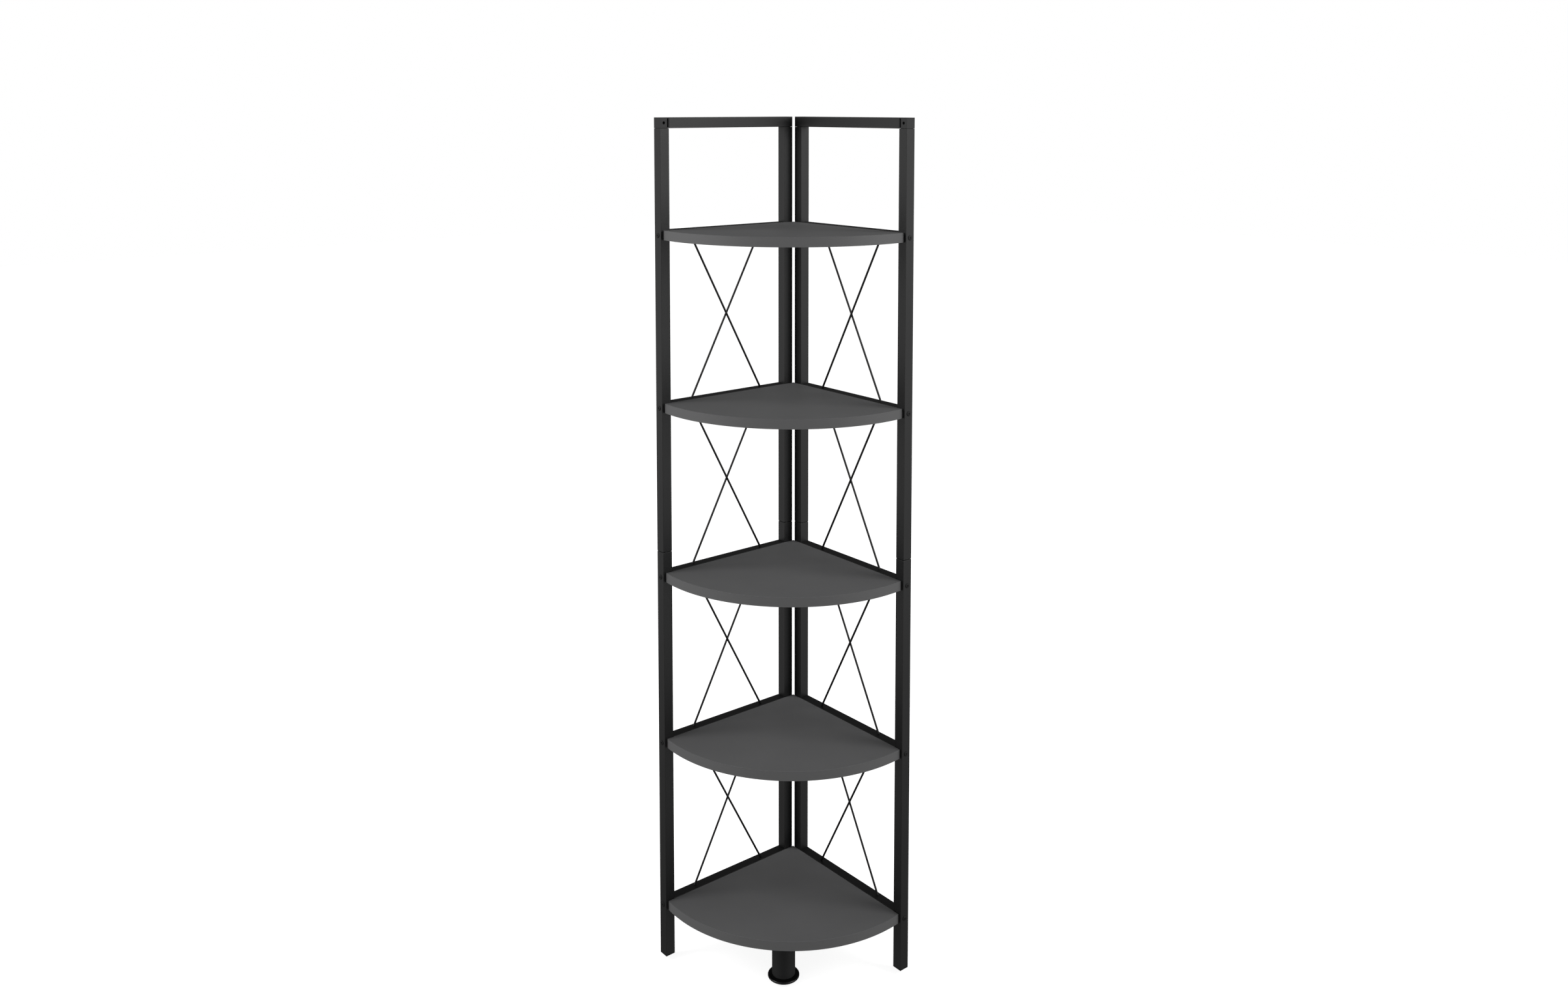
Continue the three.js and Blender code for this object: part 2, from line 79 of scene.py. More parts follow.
# Rails
END_PLATE = 3 * MM
RAIL_EDGE = 0.15 * MM
HOLLOW_EDGE = 0.1 * MM  # rounds the ends of a hollow
SCREW_INSET = 45 * MM  # end of a rail to its shelf screw
ACCESS_HOLE = 9 * MM
HOLE_FLARE = 0.25 * MM  # a hole's mouth widens over this depth, in and out
HOLE_SIDES = 40

# Glides under the posts
GLIDE_SOLE_EDGE = 0.4 * MM
GLIDE_TOP_EDGE = 0.2 * MM

# Bolts and screws
BOLT_HEAD = 9.2 * MM
BOLT_HEIGHT = 1.1 * MM
BOLT_SEAT_EDGE = (0.1 * MM, 0.15 * MM)  # inwards and upwards
BOLT_DOME = [(0, 0.45), (0.25 * MM, 0.75), (0.75 * MM, 0.94)]  # (inwards, share of the height)
BOLT_SOCKET = 2.9 * MM  # across the flats
BOLT_SOCKET_DEPTH = 0.8 * MM
BOLT_SOCKET_MOUTH = (0.2 * MM, 0.12 * MM)  # wider by, down to this depth
BOLT_SOCKET_LAND = 0.9 * MM  # flat ring around the socket
BOLT_SIDES = 48
SCREW_HEAD = 8 * MM
SCREW_HEIGHT = 2.3 * MM
SCREW_SEAT_EDGE = (0.15 * MM, 0.2 * MM)  # inwards and upwards
SCREW_DOME = [(1, 0.35), (0.9, 0.7), (0.72, 0.9), (0.6, 0.97)]  # shares of radius and height
SCREW_SHANK = 4 * MM
SCREW_TIP = 0.4 * MM  # radius of the point's end
SCREW_POINT = [(0.8, 3 * MM), (1, 5 * MM)]  # (share of the shank, distance from the end)
# (share of the radius that an arm reaches, half its width, depth)
SCREW_RECESS = [(0.52, 0.5 * MM, 0), (0.5, 0.45 * MM, 0.15 * MM), (0.22, 0.4 * MM, 1.6 * MM)]
SCREW_SIDES = 24
SHELF_SCREW_LENGTH = 16 * MM
PLATE_SCREW_LENGTH = 9 * MM
PLATE_HOLE_INSET = 8 * MM

# Brace rods
ROD = 4 * MM
ROD_INSET = 56.8 * MM  # from the post to a rod's end
ROD_SIDES = 20
ROD_SINK = 0.4 * MM  # the rod's end lies this deep in the rail's paint
WELD_RADIUS = 2.3 * MM
WELD_HEIGHT = 0.5 * MM
WELD_FOOT = 0.2 * MM  # height at which the bead starts to lean inwards
WELD_CREST = (0.35 * MM, 0.65)  # outwards from the rod, share of the height
WELD_BITE = 0.1 * MM  # the bead's top reaches this far into the rod

# Corner block and back connector
FIT = 0.3 * MM  # a spigot stands this far inside its bore
SPIGOT = TUBE_BORE - 2 * FIT
SPIGOT_WALL = 2.5 * MM
SPIGOT_BORE = SPIGOT - 2 * SPIGOT_WALL
SPIGOT_EDGE = 0.4 * MM
SPIGOT_LENGTH = 22 * MM  # down into a post
RAIL_SPIGOT_LENGTH = 18 * MM
BLOCK_EDGE = 0.3 * MM
WALL_HOLE = 5.2 * MM
WALL_HOLE_SET = 8.5 * MM  # from the block's front face to the hole
WALL_HOLE_FLARE = 0.3 * MM
SLOT_WIDTH = 2.7 * MM
SLOT_SET = 17.4 * MM  # from the block's front face to the slot
SLOT_LIP = 1.6 * MM
SLOT_DEPTH = 5 * MM
SLOT_STEPS = 12
CAP_HEAD = 1.5 * MM  # thickness of the back connector's end plate
CAP_EDGE = 0.35 * MM
NECK = 12 * MM
NECK_SINK = 3 * MM  # how far the neck reaches down into its spigot
OVERCUT = 2 * MM  # a cutter starts this far outside

# Shelves
SHELF_EDGE = 0.25 * MM
BAND = 1.2 * MM  # the edges' duller lacquer fades out over this width
ARC_CENTRE = 54 * MM  # from each wall
ARC_STEPS = 120

# Leg and foot
LEG = 44 * MM
LEG_WALL = 1.5 * MM
LEG_LOW_EDGE = 0.5 * MM
LEG_EDGE = 0.3 * MM
LEG_WEB = (28.5 * MM, 34.5 * MM)  # underside and top, above the floor
LEG_THREAD = 10.8 * MM  # bore of the web
FOOT_DIAMETER = 60 * MM
FOOT_FLANGE = 5.5 * MM
FOOT_RIM = 3.6 * MM
FOOT_SOLE_BEVEL = 1.2 * MM
FOOT_SHOULDER = (1.1 * MM, 0.7 * MM)  # inwards from the rim, below the flange's top
FOOT_LAND = 2 * MM  # the flange is flat this far outside the leg
COLLAR_TOP = 22.5 * MM
COLLAR_GAP = 0.6 * MM
COLLAR_WALL = 3.4 * MM
POCKET_FLOOR = 9 * MM
POCKET_TOP = 15.4 * MM
STEM_HEAD = 20.6 * MM
AXIS = 0.5 * MM  # radius where a turned outline starts and ends
TURNED_SIDES = 96
EASE_STEPS = 5
CREASE = math.radians(38)  # a sharper fold than this stays an edge


# Node trees

class Value:
    """A socket that takes part in arithmetic. Each operation adds its Math node."""

    def __init__(self, nodes, socket):
        self.nodes = nodes
        self.socket = socket

    def math(self, operation, first, second):
        return self.nodes.add("ShaderNodeMath", {"operation": operation}, {0: first, 1: second})

    def __add__(self, other):
        return self.math("ADD", self, other)

    __radd__ = __add__

    def __sub__(self, other):
        return self.math("SUBTRACT", self, other)

    def __rsub__(self, other):
        return self.math("SUBTRACT", other, self)

    def __mul__(self, other):
        return self.math("MULTIPLY", self, other)

    __rmul__ = __mul__


class Nodes:
    """The nodes of one tree. Every node comes from add()."""

    def __init__(self, tree):
        self.tree = tree

    @staticmethod
    def find(sockets, key):
        """A socket by its number, or the one in use by its name or identifier."""
        if isinstance(key, int):
            return sockets[key]
        return next(s for s in sockets if s.enabled and key in (s.name, s.identifier))

    def add(self, kind, settings=None, inputs=None, output=0):
        """A node of that type, its settings first and then its sockets; gives one output.
        A list of values goes into one socket that takes several."""
        node = self.tree.nodes.new(kind)
        for name, setting in (settings or {}).items():
            if name == "stops":
                elements = node.color_ramp.elements
                while len(elements) < len(setting):
                    elements.new(0.5)
                for element, (position, grey) in zip(elements, setting):
                    element.position = position
                    element.color = (grey, grey, grey, 1)
            else:
                setattr(node, name, setting)
        for key, value in (inputs or {}).items():
            socket = self.find(node.inputs, key)
            if isinstance(value, list):
                for single in value:
                    self.tree.links.new(single.socket, socket)
            elif isinstance(value, Value):
                self.tree.links.new(value.socket, socket)
            else:
                socket.default_value = value
        if not len(node.outputs):
            return node
        return Value(self, self.find(node.outputs, output))


class Finish(Nodes):
    """A material under way: textures in object space that feed one shader."""

    def __init__(self, name):
        self.material = bpy.data.materials.new(name)
        self.material.use_nodes = True
        self.material.node_tree.nodes.clear()
        super().__init__(self.material.node_tree)
        self.place = self.add("ShaderNodeTexCoord", output="Object")

    def noise(self, feature, detail=2.0, roughness=0.5):
        """Noise from 0 to 1 whose features have about this size in metres."""
        return self.add("ShaderNodeTexNoise", inputs={
            "Vector": self.place, "Scale": 1 / feature, "Detail": detail, "Roughness": roughness})

    def blend(self, share, first, second):
        """A colour between two others, by a share from 0 to 1."""
        colours = [c if isinstance(c, Value) else (*c, 1) for c in (first, second)]
        inputs = {"Factor": share, "A": colours[0], "B": colours[1]}
        settings = {"data_type": "RGBA", "clamp_factor": True}
        return self.add("ShaderNodeMix", settings, inputs, "Result")

    def relief(self, height, depth):
        """The normal of a surface whose height varies by this depth in metres."""
        return self.add("ShaderNodeBump", inputs={"Height": height, "Distance": depth, "Strength": 1.0})

    def done(self, **sockets):
        """The finished material, with these values of its shader's sockets."""
        inputs = {key.replace("_", " "): value for key, value in sockets.items()}
        shader = self.add("ShaderNodeBsdfPrincipled", inputs=inputs)
        self.add("ShaderNodeOutputMaterial", inputs={"Surface": shader})
        return self.material


def powder_coat(name, colour, roughness, depth=5e-6, shine=0.6):
    """Satin powder coat: nearly black, with fine orange peel and slow changes of sheen."""
    finish = Finish(name)
    clouds = finish.noise(60 * MM, 3)
    peel = finish.noise(1.6 * MM, 2, 0.4)
    grit = finish.noise(0.35 * MM, 1)
    darker = tuple(0.7 * c for c in colour)
    lighter = tuple(1.35 * c for c in colour)
    return finish.done(
        Base_Color=finish.blend(clouds * 0.6 + grit * 0.4, darker, lighter),
        Roughness=roughness + (clouds - 0.5) * 0.08 + (grit - 0.5) * 0.06,
        Normal=finish.relief(peel + grit * 0.15, depth),
        IOR=1.5,
        Specular_IOR_Level=shine,
    )


def board_lacquer():
    """Grey satin lacquer on board, with a fine stipple. It is a little duller along the edges."""
    finish = Finish("board_lacquer")
    clouds = finish.noise(90 * MM, 4, 0.55)
    stipple = finish.noise(0.9 * MM, 2, 0.6)
    dust = finish.noise(0.3 * MM, 1)
    rim = finish.add("ShaderNodeAttribute", {"attribute_name": "rim"}, output="Fac")
    field = finish.blend(clouds * 0.7 + dust * 0.3, (0.132, 0.132, 0.134), (0.162, 0.162, 0.164))
    return finish.done(
        Base_Color=finish.blend(rim * 0.8, field, (0.158, 0.158, 0.159)),
        Roughness=0.48 + (clouds - 0.5) * 0.08 + (stipple - 0.5) * 0.08 + rim * 0.08,
        Normal=finish.relief(stipple + dust * 0.3, 6e-6),
        IOR=1.5,
        Specular_IOR_Level=0.5,
    )


def moulded_plastic(name, colour, roughness, grain, depth):
    """Injection-moulded plastic with the fine grain of a spark-eroded mould."""
    finish = Finish(name)
    flow = finish.noise(14 * MM, 2)
    texture = finish.noise(grain, 3, 0.6)
    return finish.done(
        Base_Color=finish.blend(flow * 0.5 + texture * 0.5, tuple(0.75 * c for c in colour),
                                tuple(1.25 * c for c in colour)),
        Roughness=roughness + (texture - 0.5) * 0.12 + (flow - 0.5) * 0.05,
        Normal=finish.relief(texture, depth),
        IOR=1.5,
    )


def zinc_steel():
    """Bright zinc plating with its fine crystals."""
    finish = Finish("zinc_steel")
    crystals = finish.add("ShaderNodeTexVoronoi", inputs={
        "Vector": finish.place, "Scale": 1 / (0.7 * MM)}, output="Color")
    shade = finish.add("ShaderNodeRGBToBW", inputs={0: crystals})
    haze = finish.noise(8 * MM, 3)
    return finish.done(
        Base_Color=finish.blend(shade * 0.6 + haze * 0.4, (0.50, 0.51, 0.53), (0.66, 0.67, 0.69)),
        Metallic=1.0,
        Roughness=0.28 + (shade - 0.5) * 0.1 + (haze - 0.5) * 0.12,
        Normal=finish.relief(shade, 3e-6),
    )


FRAME_COAT = powder_coat("frame_coat", (0.002, 0.002, 0.0021), 0.42)
BOLT_COAT = powder_coat("bolt_coat", (0.002, 0.002, 0.0021), 0.5, shine=0.42)
LEG_COAT = powder_coat("leg_coat", (0.014, 0.014, 0.0144), 0.6, shine=0.4)
ROD_COAT = powder_coat("rod_coat", (0.0015, 0.0015, 0.0016), 0.3, 3e-6)
BOARD = board_lacquer()
MOULDING = moulded_plastic("connector_moulding", (0.013, 0.013, 0.0137), 0.5, 0.5 * MM, 8e-6)
FOOT_MOULDING = moulded_plastic("foot_moulding", (0.004, 0.004, 0.0042), 0.24, 0.8 * MM, 2e-6)
PLUG_MOULDING = moulded_plastic("plug_moulding", (0.008, 0.008, 0.0083), 0.35, 0.6 * MM, 4e-6)
ZINC = zinc_steel()


# Drawing meshes

def placed(name, data):
    """A new object in the scene with this mesh, light or camera."""
    thing = bpy.data.objects.new(name, data)
    bpy.context.scene.collection.objects.link(thing)
    return thing


def move(mesh, matrix):
    """Moves a mesh, and turns its faces outwards again where the matrix mirrors it."""
    mesh.transform(matrix)
    if matrix.determinant() < 0:
        mesh.flip_normals()


class Shape:
    """Points and faces of a piece under way. Rings run anticlockwise seen from the end they lead to."""

    def __init__(self):
        self.points = []
        self.faces = []
        self.rims = []

    def rings(self, rows, closed=False, rims=None):
        """Joins rings of equally many points in their order. A closed row joins its last ring to its
        first; any other gets a face over each end. Rims mark the rings that lie on a board's edge."""
        first = len(self.points)
        count = len(rows[0])
        for i, row in enumerate(rows):
            self.points.extend(row)
            self.rims.extend([rims[i] if rims else 0.0] * count)
        steps = len(rows) if closed else len(rows) - 1
        for i in range(steps):
            low = first + i * count
            high = first + (i + 1) % len(rows) * count
            for j in range(count):
                k = (j + 1) % count
                self.faces.append((low + j, low + k, high + k, high + j))
        if not closed:
            last = first + (len(rows) - 1) * count
            self.faces.append(tuple(first + j for j in reversed(range(count))))
            self.faces.append(tuple(last + j for j in range(count)))
        return self

    def mesh(self, name, matrix=None):
        """A mesh of the shape, moved by the matrix."""
        mesh = bpy.data.meshes.new(name)
        mesh.from_pydata([tuple(p) for p in self.points], [], self.faces)
        if any(self.rims):
            layer = mesh.attributes.new("rim", "FLOAT", "POINT")
            layer.data.foreach_set("value", self.rims)
        mesh.validate()
        if matrix is not None:
            move(mesh, matrix)
        return mesh


def round_square(side, corner, z, inset=0.0):
    """Ring of a square section with round corners at height z, drawn in by inset."""
    radius = max(corner - inset, SHARPEST_CORNER)
    reach = side / 2 - inset - radius
    points = []
    for quarter in range(4):
        x = reach if quarter in (0, 3) else -reach
        y = reach if quarter < 2 else -reach
        for step in range(CORNER_STEPS + 1):
            angle = (quarter + step / CORNER_STEPS) * math.pi / 2
            points.append((x + radius * math.cos(angle), y + radius * math.sin(angle), z))
    return points


def eased(low, high, low_edge, high_edge=None):
    """(inset, height) of the rings that round the two ends of a bar of one section."""
    turns = [step / EDGE_STEPS * math.pi / 2 for step in range(EDGE_STEPS + 1)]
    rows = [(low_edge * (1 - math.sin(t)), low + low_edge * (1 - math.cos(t))) for t in turns]
    edge = low_edge if high_edge is None else high_edge
    return rows + [(edge * (1 - math.sin(t)), high - edge * (1 - math.cos(t))) for t in reversed(turns)]


def square_tube(low, high, low_edge, high_edge):
    """An open square tube along +Z with eased ends."""
    rows = eased(low, high, low_edge, high_edge)
    rings = [round_square(TUBE, TUBE_CORNER, z, inset) for inset, z in rows]
    rings.append(round_square(TUBE_BORE, BORE_CORNER, high))
    rings.append(round_square(TUBE_BORE, BORE_CORNER, low))
    return Shape().rings(rings, closed=True)


def square_bar(side, corner, low, high, edge):
    """A solid square bar along +Z with eased ends."""
    rings = [round_square(side, corner, z, inset) for inset, z in eased(low, high, edge)]
    return Shape().rings(rings)


def circle(radius, z, sides=TURNED_SIDES):
    """Ring of a round section at height z."""
    turns = [2 * math.pi * i / sides for i in range(sides)]
    return [(radius * math.cos(t), radius * math.sin(t), z) for t in turns]


def rounded_profile(corners):
    """A profile of (radius, height, ease) corners, each rounded by its ease."""
    profile = []
    count = len(corners)
    for i, (x, z, ease) in enumerate(corners):
        here = Vector((x, z))
        if not ease:
            profile.append(here)
            continue
        before = (Vector(corners[i - 1][:2]) - here).normalized()
        after = (Vector(corners[(i + 1) % count][:2]) - here).normalized()
        start, end = here + before * ease, here + after * ease
        for step in range(EASE_STEPS + 1):
            t = step / EASE_STEPS
            profile.append(start * (1 - t) ** 2 + here * 2 * t * (1 - t) + end * t * t)
    return profile


def turned(profile, closed=False, sides=TURNED_SIDES):
    """A turned piece about +Z from (radius, height) points that climb on its outside."""
    return Shape().rings([circle(x, z, sides) for x, z in profile], closed)


def lying(direction):
    """Turns +Z to lie along a direction of a ladder frame's axes."""
    return Vector(direction).to_track_quat("Z", "Y").to_matrix().to_4x4()


def smooth(mesh):
    """Smooth shading that stays flat on flat faces and breaks at sharp edges."""
    mesh.shade_smooth()
    mesh.set_sharp_from_angle(angle=CREASE)
    thing = placed("smoothing", mesh)
    weighted = thing.modifiers.new("weighted", "WEIGHTED_NORMAL")
    weighted.keep_sharp = True
    weighted.weight = 100
    return plain(thing)


def plain(thing):
    """The evaluated mesh of a thing, which is removed with the mesh that it was drawn on."""
    bpy.context.view_layer.update()
    graph = bpy.context.evaluated_depsgraph_get()
    mesh = bpy.data.meshes.new_from_object(
        thing.evaluated_get(graph), preserve_all_data_layers=True, depsgraph=graph)
    drawn = thing.data
    bpy.data.objects.remove(thing)
    bpy.data.meshes.remove(drawn)
    return mesh


def carved(mesh, cuts=(), joins=()):
    """The mesh with others joined on and others cut away."""
    thing = placed("carving", mesh)
    tools = []
    for operation, others in (("UNION", joins), ("DIFFERENCE", cuts)):
        for other in others:
            tool = placed("tool", other)
            tools.append(tool)
            step = thing.modifiers.new("step", "BOOLEAN")
            step.operation = operation
            step.solver = "EXACT"
            step.object = tool
    result = plain(thing)
    for tool in tools:
        drawn = tool.data
        bpy.data.objects.remove(tool)
        bpy.data.meshes.remove(drawn)
    return result


def piece(name, mesh, material, nodes=(), body=UNIT, matrix=None):
    """A finished piece at the origin that rides on a body and stands for its CAD nodes."""
    if matrix is not None:
        move(mesh, matrix)
    mesh = smooth(mesh)
    mesh.name = name
    mesh.materials.clear()
    mesh.materials.append(material)
    thing = placed(name, mesh)
    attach(thing, body)
    if nodes:
        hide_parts(*nodes)
    return thing


# Geometry Nodes

class Pattern(Nodes):
    """A Geometry Nodes tree with named inputs, which repeats or places shapes."""

    def __init__(self, name):
        super().__init__(bpy.data.node_groups.new(name, "GeometryNodeTree"))
        self.tree.interface.new_socket("Geometry", in_out="OUTPUT", socket_type="NodeSocketGeometry")
        self.names = {}
        self.source = self.add("NodeGroupInput").socket.node
        self.given = self.input("Geometry", "NodeSocketGeometry")

    def input(self, name, kind="NodeSocketFloat"):
        """A named input of the tree and its value inside."""
        socket = self.tree.interface.new_socket(name, in_out="INPUT", socket_type=kind)
        self.names[name] = socket.identifier
        return Value(self, self.find(self.source.outputs, name))

    def vector(self, x=0.0, y=0.0, z=0.0):
        """A point or a direction from three numbers or values."""
        return self.add("ShaderNodeCombineXYZ", inputs={0: x, 1: y, 2: z})

    def line(self, count, first, step):
        """Points one over another: how many, the first one's height and the step to the next."""
        return self.add("GeometryNodeMeshLine", {"mode": "OFFSET"}, {
            "Count": count, "Start Location": self.vector(z=first), "Offset": self.vector(z=step)})

    def finish(self, geometry, material):
        """Real geometry of one material at the tree's output."""
        real = self.add("GeometryNodeRealizeInstances", inputs={"Geometry": geometry})
        dressed = self.add("GeometryNodeSetMaterial", inputs={"Geometry": real, "Material": material})
        self.add("NodeGroupOutput", inputs={"Geometry": dressed})

    def run(self, mesh, **values):
        """The plain mesh that the tree makes of another, with these values of its inputs."""
        thing = placed(self.tree.name, mesh)
        modifier = thing.modifiers.new("pattern", "NODES")
        modifier.node_group = self.tree
        for name, value in values.items():
            modifier[self.names[name.replace("_", " ")]] = value
        return plain(thing)


def ladder_pattern():
    """Copies of one rail up a ladder frame."""
    pattern = Pattern("ladder_rails")
    count = pattern.input("Count", "NodeSocketInt")
    first = pattern.input("First height")
    pitch = pattern.input("Pitch")
    rails = pattern.add("GeometryNodeInstanceOnPoints", inputs={
        "Points": pattern.line(count, first, pitch), "Instance": pattern.given})
    pattern.finish(rails, FRAME_COAT)
    return pattern


def brace_pattern():
    """Crossed rods in the bays of a ladder frame, with a bead of weld at each end."""
    pattern = Pattern("crossed_rods")
    diameter = pattern.input("Rod diameter")
    near = pattern.input("Near end")
    far = pattern.input("Far end")
    bottom = pattern.input("Bottom")
    rise = pattern.input("Rise")
    pitch = pattern.input("Pitch")
    bays = pattern.input("Bays", "NodeSocketInt")
    offset = pattern.input("Side offset")
    sink = pattern.input("Sink")
    bead = pattern.input("Weld bead", "NodeSocketObject")
    round_section = pattern.add("GeometryNodeCurvePrimitiveCircle", inputs={
        "Resolution": ROD_SIDES, "Radius": diameter * 0.5}, output="Curve")
    bead_mesh = pattern.add("GeometryNodeObjectInfo", inputs={"Object": bead}, output="Geometry")
    parts = []
    for start, end, side in ((near, far, offset), (far, near, -1 * offset)):
        low = pattern.vector(start, side, -1 * sink)
        high = pattern.vector(end, side, rise + sink)
        rod = pattern.add("GeometryNodeCurvePrimitiveLine", inputs={"Start": low, "End": high})
        parts.append(pattern.add("GeometryNodeCurveToMesh", inputs={
            "Curve": rod, "Profile Curve": round_section, "Fill Caps": True}))
        for along, height, turn in ((start, 0.0, 0.0), (end, rise, math.pi)):
            parts.append(pattern.add("GeometryNodeTransform", inputs={
                "Geometry": bead_mesh, "Translation": pattern.vector(along, side, height),
                "Rotation": (turn, 0.0, 0.0)}))
    bay = pattern.add("GeometryNodeJoinGeometry", inputs={0: parts})
    rods = pattern.add("GeometryNodeInstanceOnPoints", inputs={
        "Points": pattern.line(bays, bottom, pitch), "Instance": bay})
    pattern.finish(rods, ROD_COAT)
    return pattern


def fastener_pattern(name, material):
    """One head at each point, its axis along the point's facing, turned by a random angle."""
    pattern = Pattern(name)
    head = pattern.input("Head", "NodeSocketObject")
    seed = pattern.input("Seed", "NodeSocketInt")
    size = pattern.input("Size")
    facing = pattern.add("GeometryNodeInputNamedAttribute", {"data_type": "FLOAT_VECTOR"},
                         {"Name": "facing"}, "Attribute")
    upright = pattern.add("FunctionNodeAlignRotationToVector", {"axis": "Z"}, {"Vector": facing})
    turn = pattern.add("FunctionNodeRandomValue", {"data_type": "FLOAT"},
                       {"Min": 0.0, "Max": 2 * math.pi, "Seed": seed}, "Value")
    spin = pattern.add("FunctionNodeRotateRotation", {"rotation_space": "LOCAL"}, {
        "Rotation": upright,
        "Rotate By": pattern.add("FunctionNodeEulerToRotation", inputs={0: pattern.vector(z=turn)})})
    shape = pattern.add("GeometryNodeObjectInfo", inputs={"Object": head}, output="Geometry")
    heads = pattern.add("GeometryNodeInstanceOnPoints", inputs={
        "Points": pattern.given, "Instance": shape, "Rotation": spin, "Scale": size})
    pattern.finish(heads, material)
    return pattern


def points_mesh(places):
    """Loose points, each with the direction that its fastener faces."""
    mesh = bpy.data.meshes.new("places")
    mesh.from_pydata([tuple(place) for place, _ in places], [], [])
    facing = mesh.attributes.new("facing", "FLOAT_VECTOR", "POINT")
    facing.data.foreach_set("vector", [c for _, direction in places for c in direction])
    return mesh


def fastened(pattern, head, places, seed):
    """Fasteners at places of a ladder frame or of the world, as one plain mesh."""
    tool = placed("head", head)
    mesh = pattern.run(points_mesh(places), Head=tool, Seed=seed, Size=1.0)
    bpy.data.objects.remove(tool)
    return mesh


LADDER = ladder_pattern()
BRACES = brace_pattern()
BOLTS = fastener_pattern("frame_bolts", BOLT_COAT)
SCREWS = fastener_pattern("screws", ZINC)


# Ladder frames

class Ladder:
    """One ladder frame. Its axes are u from the wall corner to the room, w across the tube towards the
    shelves, and z up."""

    def __init__(self, side):
        self.side = side
        low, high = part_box(f"{side}_front_post_lower")
        middle = (low + high) / 2
        corner = Vector((cad_box[0].x, cad_box[1].y, 0))
        if side == "left":
            axes = ((0, 1, 0), (-1, 0, 0), (0, 0, 1))
            origin = (middle.x, corner.y, 0)
        else:
            axes = ((1, 0, 0), (0, -1, 0), (0, 0, 1))
            origin = (corner.x, middle.y, 0)
        self.matrix = Matrix.Translation(origin) @ Matrix(axes).to_4x4()
        self.back = self.span(f"{side}_back_post_lower")
        self.front = self.span(f"{side}_front_post_lower")
        self.rail_start = self.back[1].x + GAP
        self.rail_end = self.front[0].x - GAP
        self.rail_z = [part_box(f"{side}_shelf_rail_{i + 1}")[0].z + TUBE / 2 for i in range(LEVELS)]

    def span(self, node):
        """A node's lowest and highest corner in the ladder's axes."""
        inverse = self.matrix.inverted()
        a, b = (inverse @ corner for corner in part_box(node))
        return Vector(map(min, a, b)), Vector(map(max, a, b))

    def node(self, name):
        """The full name of one of this frame's CAD nodes, or of a piece of it."""
        return f"{self.side}_{name}"

    def posts(self):
        """The four open tubes of the posts, and the glides under them."""
        for end in ("front", "back"):
            for length in ("lower", "upper"):
                node = self.node(f"{end}_post_{length}")
                low, high = self.span(node)
                middle = (low + high) / 2
                matrix = self.matrix @ Matrix.Translation((middle.x, middle.y, 0))
                edges = (SAWN_EDGE, JOINT_EDGE) if length == "lower" else (JOINT_EDGE, SAWN_EDGE)
                tube = square_tube(low.z, high.z, *edges).mesh(node)
                piece(f"{node}_tube", tube, FRAME_COAT, [node], matrix=matrix)
            self.glide(end)

    def glide(self, end):
        """A plug under a post, with a hollow spigot up into the tube."""
        node = self.node(f"{end}_post_glide")
        low, high = self.span(node)
        middle = (low + high) / 2
        head = self.span(self.node(f"{end}_post_lower"))[0].z - GAP
        rows = eased(0.0, head, GLIDE_SOLE_EDGE, GLIDE_TOP_EDGE)
        rings = [round_square(TUBE, TUBE_CORNER, z, inset) for inset, z in rows]
        rings += [round_square(SPIGOT, BORE_CORNER, z) for z in (head, high.z)]
        rings += [round_square(SPIGOT_BORE, BORE_CORNER, z) for z in (high.z, head)]
        plug = Shape().rings(rings)
        piece(node + "_plug", plug.mesh(node), PLUG_MOULDING, [node],
              matrix=self.matrix @ Matrix.Translation((middle.x, middle.y, 0)))

    def rails(self):
        """The shelf rails with their end plates and the access holes of the shelf screws."""
        length = self.rail_end - self.rail_start
        tube = square_bar(TUBE, TUBE_CORNER, 0.0, length, RAIL_EDGE).mesh("rail", lying((1, 0, 0)))
        bore = square_bar(TUBE_BORE, BORE_CORNER, END_PLATE, length - END_PLATE, HOLLOW_EDGE)
        radius = ACCESS_HOLE / 2
        hole = turned([(radius, 0), (radius, TUBE / 2 - HOLE_FLARE),
                       (radius + 2 * HOLE_FLARE, TUBE / 2 + HOLE_FLARE)], sides=HOLE_SIDES)
        holes = [hole.mesh("hole", Matrix.Translation((x, 0, 0)) @ lying((0, -1, 0)))
                 for x in (SCREW_INSET, length - SCREW_INSET)]
        rail = carved(tube, [bore.mesh("bore", lying((1, 0, 0))), *holes])
        rails = LADDER.run(rail, Count=LEVELS, First_height=self.rail_z[0], Pitch=PITCH)
        nodes = [self.node(f"shelf_rail_{i + 1}") for i in range(LEVELS)]
        piece(self.node("shelf_rails"), rails, FRAME_COAT, nodes,
              matrix=self.matrix @ Matrix.Translation((self.rail_start, 0, 0)))

    def bolts(self):
        """The heads of the bolts through the posts into the rails."""
        front, back = self.front[1].x, self.back[0].x
        places = [((front, 0, z), (1, 0, 0)) for z in self.rail_z]
        places += [((back, 0, z), (-1, 0, 0)) for z in self.rail_z]
        mesh = fastened(BOLTS, bolt_head(), places, seed=11)
        piece(self.node("frame_bolts"), mesh, BOLT_COAT, matrix=self.matrix)

    def shelf_screws(self):
        """The screws inside the rails, into the shelves' straight sides."""
        seat = TUBE / 2 - TUBE_WALL
        ends = (self.rail_start + SCREW_INSET, self.rail_end - SCREW_INSET)
        places = [((x, seat, z), (0, -1, 0)) for z in self.rail_z for x in ends]
        mesh = fastened(SCREWS, screw(SHELF_SCREW_LENGTH), places, seed=23)
        piece(self.node("shelf_screws"), mesh, ZINC, matrix=self.matrix)

